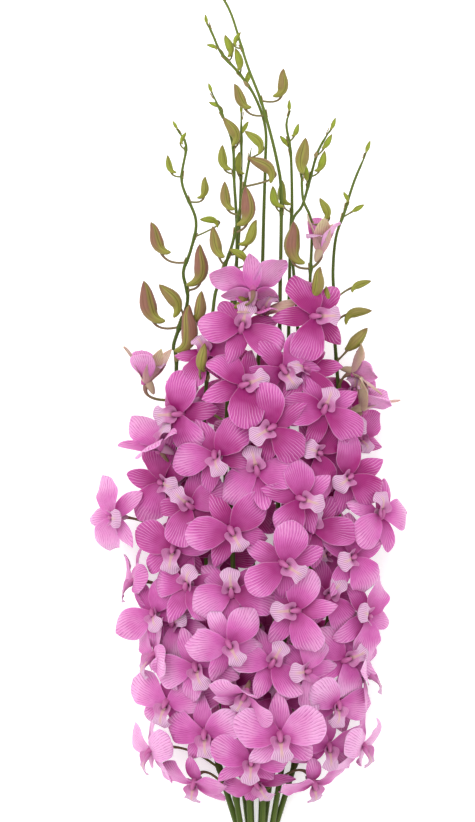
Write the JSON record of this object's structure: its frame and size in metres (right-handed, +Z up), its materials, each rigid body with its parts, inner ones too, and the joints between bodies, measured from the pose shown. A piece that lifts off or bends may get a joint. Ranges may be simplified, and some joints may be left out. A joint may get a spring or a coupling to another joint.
{
  "type": "bunch of dendrobium orchids",
  "caption": "Tied bunch of cut dendrobium orchid sprays lying on a surface, with pink blooms, closed buds toward the tips and bare stems.",
  "frame": {"origin": "middle of the flat underside of the rubber band, on the resting surface", "axes": "+Y along the stems toward the tips, +Z up from the resting surface, +X to the right seen from above"},
  "size_m": [0.2344, 0.6767, 0.1091],
  "materials": {
    "orchid_spray": "soft satin petals, lips striped in purple, green stems and buds",
    "rubber_band": "matt"
  },
  "bodies": {
    "root": {"spray_01": "orchid_spray", "spray_02": "orchid_spray", "spray_03": "orchid_spray", "spray_04": "orchid_spray", "spray_05": "orchid_spray", "spray_06": "orchid_spray", "spray_07": "orchid_spray", "spray_08": "orchid_spray", "spray_09": "orchid_spray", "spray_10": "orchid_spray", "rubber_band": "rubber_band"}
  },
  "joints": []
}
